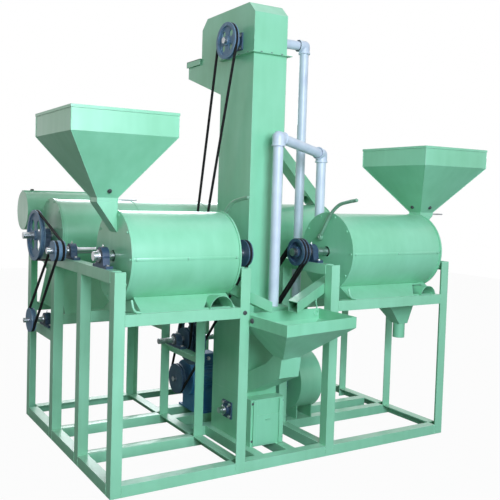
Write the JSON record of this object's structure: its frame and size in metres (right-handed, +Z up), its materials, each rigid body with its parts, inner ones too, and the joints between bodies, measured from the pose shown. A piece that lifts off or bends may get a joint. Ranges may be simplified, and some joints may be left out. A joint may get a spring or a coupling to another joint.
{
  "type": "dal mill",
  "caption": "Free-standing pulse mill: twin emery dehusking drums with feed hoppers, bucket elevator, long grading reel, blower and belt drives on an angle-iron frame",
  "frame": {"origin": "middle of the machine's footprint, on the floor", "axes": "+X to the right along the front, +Y to the back, +Z up"},
  "size_m": [2.384, 1.729, 2.21],
  "materials": {
    "green_enamel": "gloss machine enamel, mint green",
    "bright_steel": "turned bright steel",
    "plated_sheet": "zinc plated sheet",
    "pulley_iron": "blue-grey painted casting",
    "bearing_iron": "dark blue casting enamel",
    "emery_stone": "coarse emery grit",
    "pipe_plastic": "plain plastic pipe",
    "belt_rubber": "black fabric rubber",
    "motor_paint": "blue motor enamel"
  },
  "bodies": {
    "machine": {"posts": "green_enamel", "upper_rails": "green_enamel", "base_rails": "green_enamel", "left_husk_tray": "green_enamel", "right_husk_tray": "green_enamel", "reel_trays": "green_enamel", "husk_funnel": "green_enamel", "left_drum_shell": "green_enamel", "right_drum_shell": "green_enamel", "left_drum_end_plates": "green_enamel", "right_drum_end_plates": "green_enamel", "outlet_ducts": "green_enamel", "left_hopper": "green_enamel", "right_hopper": "green_enamel", "feed_chutes": "green_enamel", "reel_shell": "green_enamel", "reel_end_plates": "green_enamel", "rear_cylinder": "green_enamel", "elevator_boot": "green_enamel", "elevator_leg": "green_enamel", "elevator_head": "green_enamel", "reel_chute": "green_enamel", "trough": "green_enamel", "trough_inlet_chute": "green_enamel", "air_box": "green_enamel", "blower_casing": "green_enamel", "fasteners": "bright_steel", "elevator_buckets": "plated_sheet", "shaft_bearings": "bearing_iron", "air_pipes": "pipe_plastic", "drive_belts": "belt_rubber", "bucket_belt": "belt_rubber", "motor_body": "motor_paint"},
    "left_roller": {"left_emery_roller": "emery_stone", "left_drum_shaft": "bright_steel", "left_drum_pulley": "pulley_iron"},
    "right_roller": {"right_emery_roller": "emery_stone", "right_drum_shaft": "bright_steel", "right_drum_pulley": "pulley_iron"},
    "reel_rotor": {"reel_screen": "plated_sheet", "reel_shaft": "bright_steel", "reel_pulley": "pulley_iron"},
    "line_drive": {"line_shaft": "bright_steel", "line_shaft_pulleys": "pulley_iron"},
    "counter_drive": {"counter_shaft": "bright_steel", "counter_shaft_pulleys": "pulley_iron"},
    "lower_drive": {"lower_shaft": "bright_steel", "lower_shaft_pulleys": "pulley_iron"},
    "head_drive": {"head_shaft": "bright_steel", "head_pulley": "pulley_iron"},
    "boot_drive": {"boot_shaft": "bright_steel"},
    "fan_rotor": {"blower_fan": "plated_sheet", "blower_pulley": "pulley_iron"},
    "motor_rotor": {"motor_shaft": "bright_steel", "motor_pulley": "pulley_iron"},
    "left_gate": {"left_feed_gate": "bright_steel"},
    "right_gate": {"right_feed_gate": "bright_steel"},
    "cleanout": {"cleanout_gate": "green_enamel"},
    "left_lever": {"left_outlet_lever": "green_enamel"},
    "right_lever": {"right_outlet_lever": "green_enamel"}
  },
  "joints": [
    {"name": "right_roller_spin", "type": "hinge", "parent": "machine", "child": "right_roller", "pos_m": [0.52, -0.3825, 0.993], "axis": [1, 0, 0], "continuous": true},
    {"name": "left_roller_spin", "type": "hinge", "parent": "machine", "child": "left_roller", "pos_m": [-0.68, -0.3825, 0.993], "axis": [1, 0, 0], "continuous": true},
    {"name": "reel_spin", "type": "hinge", "parent": "machine", "child": "reel_rotor", "pos_m": [-0.08, 0.4355, 1.03], "axis": [1, 0, 0], "continuous": true},
    {"name": "line_shaft_spin", "type": "hinge", "parent": "machine", "child": "line_drive", "pos_m": [-0.68, 0.0195, 0.983], "axis": [1, 0, 0], "continuous": true},
    {"name": "counter_shaft_spin", "type": "hinge", "parent": "machine", "child": "counter_drive", "pos_m": [-0.18, 0.0755, 0.49], "axis": [1, 0, 0], "continuous": true},
    {"name": "lower_shaft_spin", "type": "hinge", "parent": "machine", "child": "lower_drive", "pos_m": [-0.48, 0.3955, 0.588], "axis": [1, 0, 0], "continuous": true},
    {"name": "elevator_head_spin", "type": "hinge", "parent": "machine", "child": "head_drive", "pos_m": [-0.0975, -0.2255, 2.03], "axis": [1, 0, 0], "continuous": true},
    {"name": "elevator_boot_spin", "type": "hinge", "parent": "machine", "child": "boot_drive", "pos_m": [-0.0975, -0.2255, 0.18], "axis": [1, 0, 0], "continuous": true},
    {"name": "fan_spin", "type": "hinge", "parent": "machine", "child": "fan_rotor", "pos_m": [0.32, -0.0805, 0.255], "axis": [1, 0, 0], "continuous": true},
    {"name": "motor_spin", "type": "hinge", "parent": "machine", "child": "motor_rotor", "pos_m": [-0.08, 0.2245, 0.235], "axis": [1, 0, 0], "continuous": true},
    {"name": "left_gate_slide", "type": "slide", "parent": "machine", "child": "left_gate", "axis": [1, 0, 0], "range_m": [0, 0.076]},
    {"name": "right_gate_slide", "type": "slide", "parent": "machine", "child": "right_gate", "axis": [1, 0, 0], "range_m": [0, 0.076]},
    {"name": "cleanout_slide", "type": "slide", "parent": "machine", "child": "cleanout", "axis": [0, 0, 1], "range_m": [0, 0.1]},
    {"name": "left_lever_turn", "type": "hinge", "parent": "machine", "child": "left_lever", "pos_m": [-0.372, -0.3375, 1.064], "axis": [1, 0, 0], "range_deg": [-12, 20]},
    {"name": "right_lever_turn", "type": "hinge", "parent": "machine", "child": "right_lever", "pos_m": [0.282, -0.3375, 1.064], "axis": [1, 0, 0], "range_deg": [-12, 20]}
  ],
  "couplings": [
    {"joint": "left_roller_spin", "follows": "right_roller_spin", "ratio": 1.0156},
    {"joint": "counter_shaft_spin", "follows": "right_roller_spin", "ratio": 0.8125},
    {"joint": "motor_spin", "follows": "right_roller_spin", "ratio": 1.4062},
    {"joint": "line_shaft_spin", "follows": "right_roller_spin", "ratio": 0.6175},
    {"joint": "elevator_head_spin", "follows": "right_roller_spin", "ratio": 0.30512},
    {"joint": "elevator_boot_spin", "follows": "right_roller_spin", "ratio": 0.30512},
    {"joint": "reel_spin", "follows": "right_roller_spin", "ratio": 0.21375},
    {"joint": "lower_shaft_spin", "follows": "right_roller_spin", "ratio": 0.47909},
    {"joint": "fan_spin", "follows": "right_roller_spin", "ratio": 1.0181}
  ]
}
